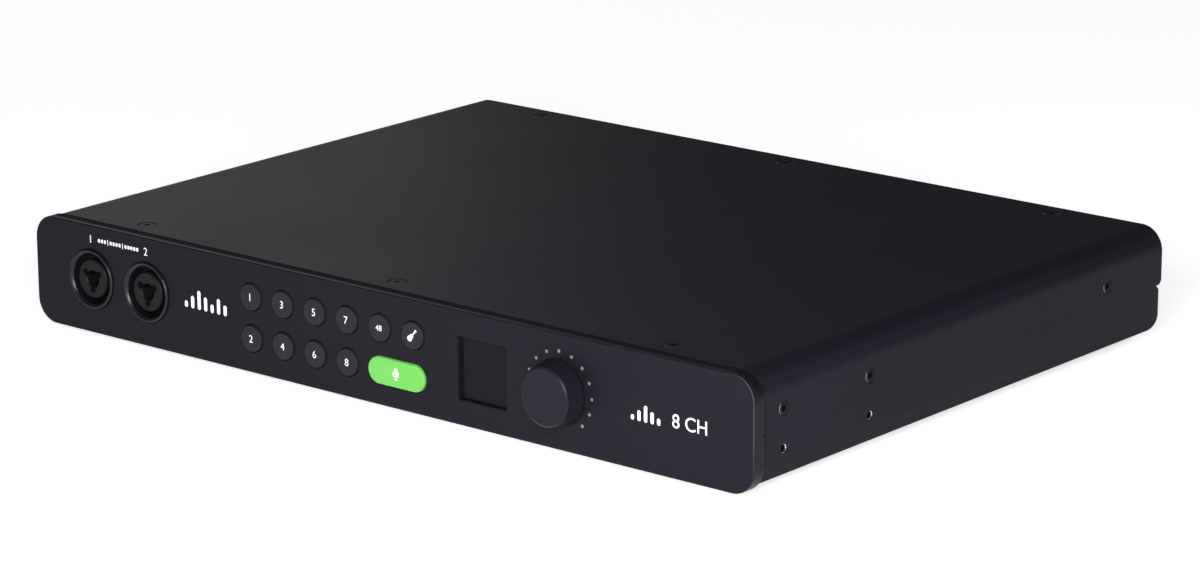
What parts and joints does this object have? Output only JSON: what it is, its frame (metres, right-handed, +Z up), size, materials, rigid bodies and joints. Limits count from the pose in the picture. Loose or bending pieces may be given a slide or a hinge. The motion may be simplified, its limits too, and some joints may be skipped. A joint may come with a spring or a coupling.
{
  "type": "audio interface",
  "caption": "Low, wide desktop or rack audio interface with a rounded black panel, combined sockets, push buttons, small display and a rotary control.",
  "frame": {"origin": "under the middle of the whole object, on the surface that the feet stand on", "axes": "+X to the right seen from the front, +Y from the front panel to the rear, +Z up"},
  "size_m": [0.3622, 0.2806, 0.046],
  "materials": {
    "panel_black": "fine bead-blasted black anodised, satin",
    "case_black": "fine-textured, black anodised",
    "zinc_steel": "zinc-plated sheet",
    "jack_black": "moulded, fine satin",
    "jack_core_black": "moulded, semi-gloss",
    "circuit_board": "green solder mask",
    "button_black": "moulded, soft satin",
    "pill_green": "translucent green, lit from behind",
    "switch_black": "moulded",
    "display_glass": "smoked acrylic, glossy",
    "knob_black": "turned aluminium, black anodised",
    "plain_steel": "turned",
    "light_pipe": "clear moulded, unlit",
    "standoff_brass": "turned",
    "chip_black": "moulded epoxy",
    "transformer_yellow": "taped winding on ferrite",
    "capacitor_black": "sleeved can",
    "heatsink_aluminium": "extruded",
    "ribbon_grey": "flat cable",
    "nut_black": "black nickel",
    "screw_black": "black zinc",
    "foot_rubber": "matt moulded rubber"
  },
  "bodies": {
    "case": {"board_screws": "zinc_steel", "board_standoffs": "standoff_brass", "bottom_tray": "case_black", "button_switches": "switch_black", "clock_sockets": "plain_steel", "control_board": "circuit_board", "dial_light_pipes": "light_pipe", "display_module": "switch_black", "display_window": "display_glass", "encoder_body": "plain_steel", "encoder_nut": "plain_steel", "front_bracket": "zinc_steel", "front_jack_board": "circuit_board", "front_jack_housings": "jack_black", "front_jack_inserts": "jack_core_black", "front_panel": "panel_black", "left_side_rail": "zinc_steel", "line_output_jacks": "jack_black", "line_output_nuts": "nut_black", "main_board": "circuit_board", "main_board_chips": "chip_black", "mains_inlet": "jack_black", "mains_inlet_pins": "plain_steel", "optical_ports": "jack_black", "panel_screws": "screw_black", "power_board": "circuit_board", "power_capacitors": "capacitor_black", "power_heatsink": "heatsink_aluminium", "power_transformer": "transformer_yellow", "rear_bracket": "zinc_steel", "rear_jack_housings": "jack_black", "rear_jack_inserts": "jack_core_black", "rear_panel": "case_black", "ribbon_cable": "ribbon_grey", "right_side_rail": "zinc_steel", "rubber_feet": "foot_rubber", "side_screws": "screw_black", "switch_housing": "jack_black", "top_cover": "case_black", "top_screws": "screw_black"},
    "channel_button_1": {"channel_button_1": "button_black"},
    "channel_button_2": {"channel_button_2": "button_black"},
    "channel_button_3": {"channel_button_3": "button_black"},
    "channel_button_4": {"channel_button_4": "button_black"},
    "channel_button_5": {"channel_button_5": "button_black"},
    "channel_button_6": {"channel_button_6": "button_black"},
    "channel_button_7": {"channel_button_7": "button_black"},
    "channel_button_8": {"channel_button_8": "button_black"},
    "phantom_button": {"phantom_button": "button_black"},
    "instrument_button": {"instrument_button": "button_black"},
    "auto_gain_button": {"auto_gain_button": "pill_green"},
    "encoder_push": {"encoder_plunger": "switch_black"},
    "encoder_dial": {"encoder_knob": "knob_black", "encoder_shaft": "plain_steel"},
    "power_rocker": {"power_rocker": "jack_core_black"}
  },
  "joints": [
    {"name": "channel_button_1_press", "type": "slide", "parent": "case", "child": "channel_button_1", "axis": [0, 1, 0], "range_m": [0, 0.0006], "stiffness_N_per_m": 900, "springref_m": -0.0006},
    {"name": "channel_button_2_press", "type": "slide", "parent": "case", "child": "channel_button_2", "axis": [0, 1, 0], "range_m": [0, 0.0006], "stiffness_N_per_m": 900, "springref_m": -0.0006},
    {"name": "channel_button_3_press", "type": "slide", "parent": "case", "child": "channel_button_3", "axis": [0, 1, 0], "range_m": [0, 0.0006], "stiffness_N_per_m": 900, "springref_m": -0.0006},
    {"name": "channel_button_4_press", "type": "slide", "parent": "case", "child": "channel_button_4", "axis": [0, 1, 0], "range_m": [0, 0.0006], "stiffness_N_per_m": 900, "springref_m": -0.0006},
    {"name": "channel_button_5_press", "type": "slide", "parent": "case", "child": "channel_button_5", "axis": [0, 1, 0], "range_m": [0, 0.0006], "stiffness_N_per_m": 900, "springref_m": -0.0006},
    {"name": "channel_button_6_press", "type": "slide", "parent": "case", "child": "channel_button_6", "axis": [0, 1, 0], "range_m": [0, 0.0006], "stiffness_N_per_m": 900, "springref_m": -0.0006},
    {"name": "channel_button_7_press", "type": "slide", "parent": "case", "child": "channel_button_7", "axis": [0, 1, 0], "range_m": [0, 0.0006], "stiffness_N_per_m": 900, "springref_m": -0.0006},
    {"name": "channel_button_8_press", "type": "slide", "parent": "case", "child": "channel_button_8", "axis": [0, 1, 0], "range_m": [0, 0.0006], "stiffness_N_per_m": 900, "springref_m": -0.0006},
    {"name": "phantom_button_press", "type": "slide", "parent": "case", "child": "phantom_button", "axis": [0, 1, 0], "range_m": [0, 0.0006], "stiffness_N_per_m": 900, "springref_m": -0.0006},
    {"name": "instrument_button_press", "type": "slide", "parent": "case", "child": "instrument_button", "axis": [0, 1, 0], "range_m": [0, 0.0006], "stiffness_N_per_m": 900, "springref_m": -0.0006},
    {"name": "auto_gain_button_press", "type": "slide", "parent": "case", "child": "auto_gain_button", "axis": [0, 1, 0], "range_m": [0, 0.0006], "stiffness_N_per_m": 900, "springref_m": -0.0006},
    {"name": "encoder_press", "type": "slide", "parent": "case", "child": "encoder_push", "axis": [0, 1, 0], "range_m": [0, 0.0005], "stiffness_N_per_m": 2000, "springref_m": -0.0006},
    {"name": "encoder_turn", "type": "hinge", "parent": "encoder_push", "child": "encoder_dial", "pos_m": [0.09222, -0.1315, 0.024], "axis": [0, 1, 0], "continuous": true},
    {"name": "power_rocker_tilt", "type": "hinge", "parent": "case", "child": "power_rocker", "pos_m": [0.12786, 0.1236, 0.024], "axis": [1, 0, 0], "range_deg": [0, 18]}
  ]
}
